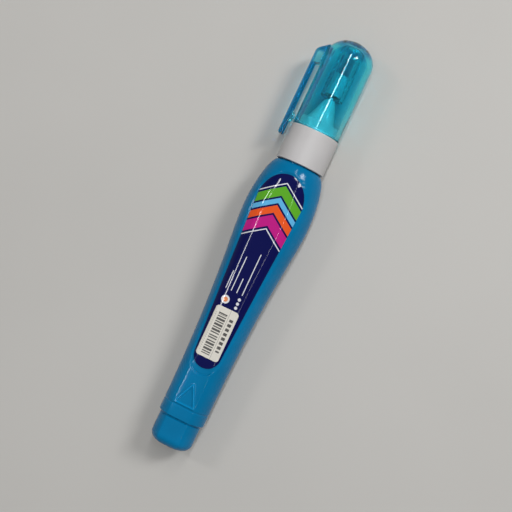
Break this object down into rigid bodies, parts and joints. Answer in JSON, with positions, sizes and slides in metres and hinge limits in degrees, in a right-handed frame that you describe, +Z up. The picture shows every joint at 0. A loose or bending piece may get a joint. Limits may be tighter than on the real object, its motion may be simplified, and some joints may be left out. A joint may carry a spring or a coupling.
{
  "type": "correction fluid bottle",
  "caption": "Squeeze-type correction pen: waisted plastic bottle with a raised triangle, white collar, metal tip with a sprung needle valve, and a see-through cap with a clip.",
  "frame": {"origin": "middle of the flat strip on the pen's back that it rests on, under the pen's axis", "axes": "+X along the pen from the closed tail to the cap, +Y towards the clip, +Z up through the label"},
  "size_m": [0.1411, 0.0224, 0.0175],
  "materials": {
    "bottle_blue": "soft satin polyethylene",
    "label_film": "printed film",
    "sticker_paper": "coated paper",
    "steel": "turned and polished",
    "white_fluid": "thick liquid",
    "collar_white": "satin",
    "inner_plastic": "satin",
    "cap_cyan": "polished, see-through",
    "seal_soft": "soft, translucent",
    "clip_blue": "polished, see-through"
  },
  "bodies": {
    "bottle": {"squeeze_bottle": "bottle_blue", "front_label": "label_film", "barcode_sticker": "sticker_paper", "correction_fluid": "white_fluid", "nozzle": "collar_white", "metal_tip": "steel", "valve_spring": "steel", "spring_retainer": "inner_plastic"},
    "cap": {"cap": "cap_cyan", "tip_seal": "seal_soft"},
    "clip": {"cap_clip": "clip_blue"},
    "valve": {"valve_needle": "steel", "needle_carrier": "inner_plastic"},
    "ball": {"mixing_ball": "steel"}
  },
  "joints": [
    {"name": "cap_pull", "type": "slide", "parent": "bottle", "child": "cap", "axis": [1, 0, 0], "range_m": [0, 0.034]},
    {"name": "clip_flex", "type": "hinge", "parent": "cap", "child": "clip", "pos_m": [0.05455, 0.01033, 0.0088], "axis": [0, 0, -1], "range_deg": [0, 5], "stiffness_Nm_per_rad": 0.4},
    {"name": "needle_press", "type": "slide", "parent": "bottle", "child": "valve", "axis": [-1, 0, 0], "range_m": [0, 0.0005], "stiffness_N_per_m": 300, "deforming": ["valve_spring"]},
    {"name": "ball_roll", "type": "slide", "parent": "bottle", "child": "ball", "axis": [1, 0, 0], "range_m": [-0.01, 0.011], "deforming": ["correction_fluid"]}
  ]
}
